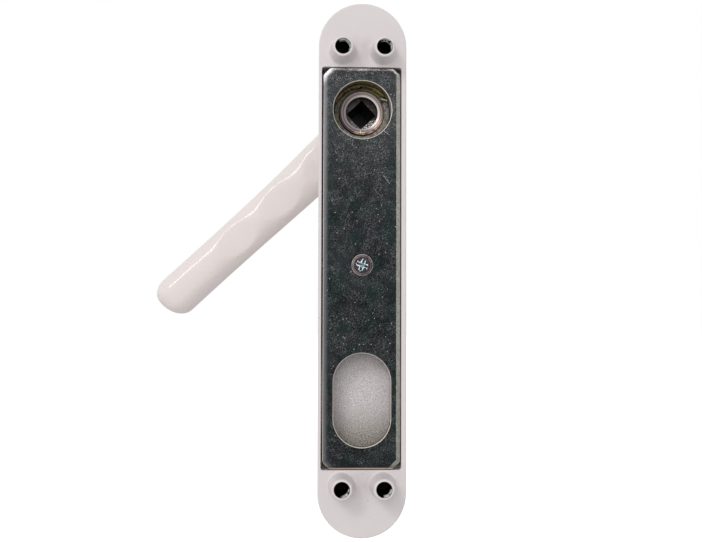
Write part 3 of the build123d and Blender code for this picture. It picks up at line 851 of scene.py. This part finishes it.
def washer_burr(material):
    """The bright sheared edge that stands up at the cut end of the spring washer."""
    inner = Vector((-7.5, 0, 5.5)) * MM
    outer = Vector((-9.7, 0, 4.9)) * MM
    top, bottom = -spring_top_depth + 1.5 * MM, -spring_top_depth - 0.2 * MM
    steps = 12
    points = []
    for i in range(steps + 1):
        share = i / steps
        middle = inner.lerp(outer, share)
        half = (0.17 - 0.07 * share + 0.03 * math.sin(9 * share)) * MM
        for height, side in ((top, -0.6), (top, 0.6), (bottom, 1), (bottom, -1)):
            points.append((middle.x, height - 0.08 * MM * math.sin(5 * share), middle.z + side * half))
    faces = [face for face in tube_faces(steps + 1, 4) if face[2] // 4 != 0]
    faces.append((0, 1, 2, 3))
    faces.append((steps * 4 + 3, steps * 4 + 2, steps * 4 + 1, steps * 4))
    return mesh_piece("washer_burr", points, faces, material, "housing")


def burr_steel():
    """Freshly sheared steel, coloured near white and not metallic as a painted glint."""
    look = Look("burr_steel")
    grain = look.ramp(look.noise(0.3 * MM, 2.0), 0.35, 0.6)
    colour = look.mix(grain, rgb(236, 232, 228), rgb(255, 253, 250))
    return look.finish(colour, 0.35, 0.0)


def paint_node(name, material):
    """Gives a solid of the frame its finish."""
    mesh = nodes[name].data
    mesh.materials.clear()
    mesh.materials.append(material)


# Finishes of the solids
paint_node("housing", powder_coat())
gloss_finish = gloss_paint()
paint_node("lever", gloss_finish)
paint_node("back_plate", zinc_plate())
paint_node("plate_screw", screw_steel())
paint_node("spring_washer", greased_steel("spring_steel", rgb(92, 88, 84), rgb(150, 144, 138)))
paint_node("flat_washer", greased_steel("washer_steel", rgb(80, 76, 70), rgb(130, 124, 116)))
paint_node("neck_bush", bush_plastic())

# Details that are finer than the solids
thread_finish = thread_metal()
for row, z in zip(("top", "bottom"), boss_rows):
    for side, x in (("left", boss_spacing / 2), ("right", -boss_spacing / 2)):
        tapped_thread(f"thread_{row}_{side}", x, z, thread_finish)
grease_bead(grease())
washer_burr(burr_steel())
lever_mesh(gloss_finish)

# Camera
camera = bpy.data.objects.new("camera", bpy.data.cameras.new("camera"))
bpy.context.scene.collection.objects.link(camera)
bpy.context.scene.camera = camera
camera.data.lens = camera_lens
camera.data.clip_start = 0.01
camera.location = camera_place
camera.rotation_mode = "QUATERNION"
aim = (camera_target - camera_place).to_track_quat("-Z", "Y")
camera.rotation_quaternion = aim @ Quaternion((0, 0, 1), camera_roll)


def area_lamp(name, direction, distance, width, length, watts, long_side=(0, 0, 1), shines=True):
    """A soft box that looks at the middle of the handle, with its long side along a direction."""
    lamp = bpy.data.objects.new(name, bpy.data.lights.new(name, "AREA"))
    bpy.context.scene.collection.objects.link(lamp)
    lamp.data.shape = "RECTANGLE"
    lamp.data.size = width
    lamp.data.size_y = length
    lamp.data.energy = watts
    lamp.visible_glossy = shines
    towards = Vector(direction).normalized()
    upright = Vector(long_side)
    upright = (upright - towards * upright.dot(towards)).normalized()
    turn = Matrix((upright.cross(towards), upright, towards)).transposed()
    lamp.location = handle_middle + towards * distance
    lamp.rotation_mode = "QUATERNION"
    lamp.rotation_quaternion = turn.to_quaternion()
    return lamp


# Light: from the upper left of the photograph a small key, and before it a strip along the lever
# that draws the line on the paint. A broad soft light comes from over the camera, and a weak fill
# from below.
key_direction = (0.46, 0.65, 0.59)
area_lamp("key", key_direction, 3.0, 0.45, 0.45, 5.5, along, shines=False)
area_lamp("strip", key_direction, 2.9, 0.52, 1.3, 13.8, along)
area_lamp("overhead", (0.22, 0.9, 0.3), 3.0, 1.8, 2.0, 17.0, shines=False)
area_lamp("fill", (-0.2, 0.9, -0.4), 2.0, 1.2, 1.2, 4.0)


def studio_world(even_strength, seen_strength):
    """An even light, which looks pure white to the camera and in reflections."""
    world = bpy.data.worlds.new("studio")
    bpy.context.scene.world = world
    world.use_nodes = True
    tree = world.node_tree
    background = tree.nodes["Background"]
    path = tree.nodes.new("ShaderNodeLightPath")
    seen = tree.nodes.new("ShaderNodeMath")
    seen.operation = "MAXIMUM"
    tree.links.new(path.outputs["Is Camera Ray"], seen.inputs[0])
    mirrored = tree.nodes.new("ShaderNodeMath")
    mirrored.operation = "MAXIMUM"
    tree.links.new(path.outputs["Is Glossy Ray"], mirrored.inputs[0])
    tree.links.new(path.outputs["Is Transmission Ray"], mirrored.inputs[1])
    tree.links.new(mirrored.outputs[0], seen.inputs[1])
    strength = tree.nodes.new("ShaderNodeMapRange")
    strength.inputs["To Min"].default_value = even_strength
    strength.inputs["To Max"].default_value = seen_strength
    tree.links.new(seen.outputs[0], strength.inputs["Value"])
    tree.links.new(strength.outputs[0], background.inputs["Strength"])
    background.inputs["Color"].default_value = (1, 1, 1, 1)


def floor_finish(glow_strength):
    """Pale grey that glows to the camera, so that it shows white where it is lit."""
    finish = bpy.data.materials.new("floor")
    finish.use_nodes = True
    tree = finish.node_tree
    tree.nodes.remove(tree.nodes["Principled BSDF"])
    diffuse = tree.nodes.new("ShaderNodeBsdfDiffuse")
    diffuse.inputs["Color"].default_value = (0.8, 0.8, 0.8, 1)
    glow = tree.nodes.new("ShaderNodeEmission")
    path = tree.nodes.new("ShaderNodeLightPath")
    share = tree.nodes.new("ShaderNodeMath")
    share.operation = "MULTIPLY"
    share.inputs[1].default_value = glow_strength
    tree.links.new(path.outputs["Is Camera Ray"], share.inputs[0])
    tree.links.new(share.outputs[0], glow.inputs["Strength"])
    both = tree.nodes.new("ShaderNodeAddShader")
    tree.links.new(diffuse.outputs[0], both.inputs[0])
    tree.links.new(glow.outputs[0], both.inputs[1])
    tree.links.new(both.outputs[0], tree.nodes["Material Output"].inputs["Surface"])
    return finish


def white_floor(drop, half, material):
    """A square floor below the handle."""
    mesh = bpy.data.meshes.new("floor")
    level = cad_box[0].z - drop
    mesh.from_pydata(
        [(-half, -half, level), (half, -half, level), (half, half, level), (-half, half, level)],
        [],
        [(0, 1, 2, 3)],
    )
    mesh.materials.append(material)
    floor = bpy.data.objects.new("floor", mesh)
    bpy.context.scene.collection.objects.link(floor)


studio_world(0.6, 1.0)
white_floor(0.12, 6.0, floor_finish(0.7))

bpy.context.scene.view_settings.view_transform = "Standard"
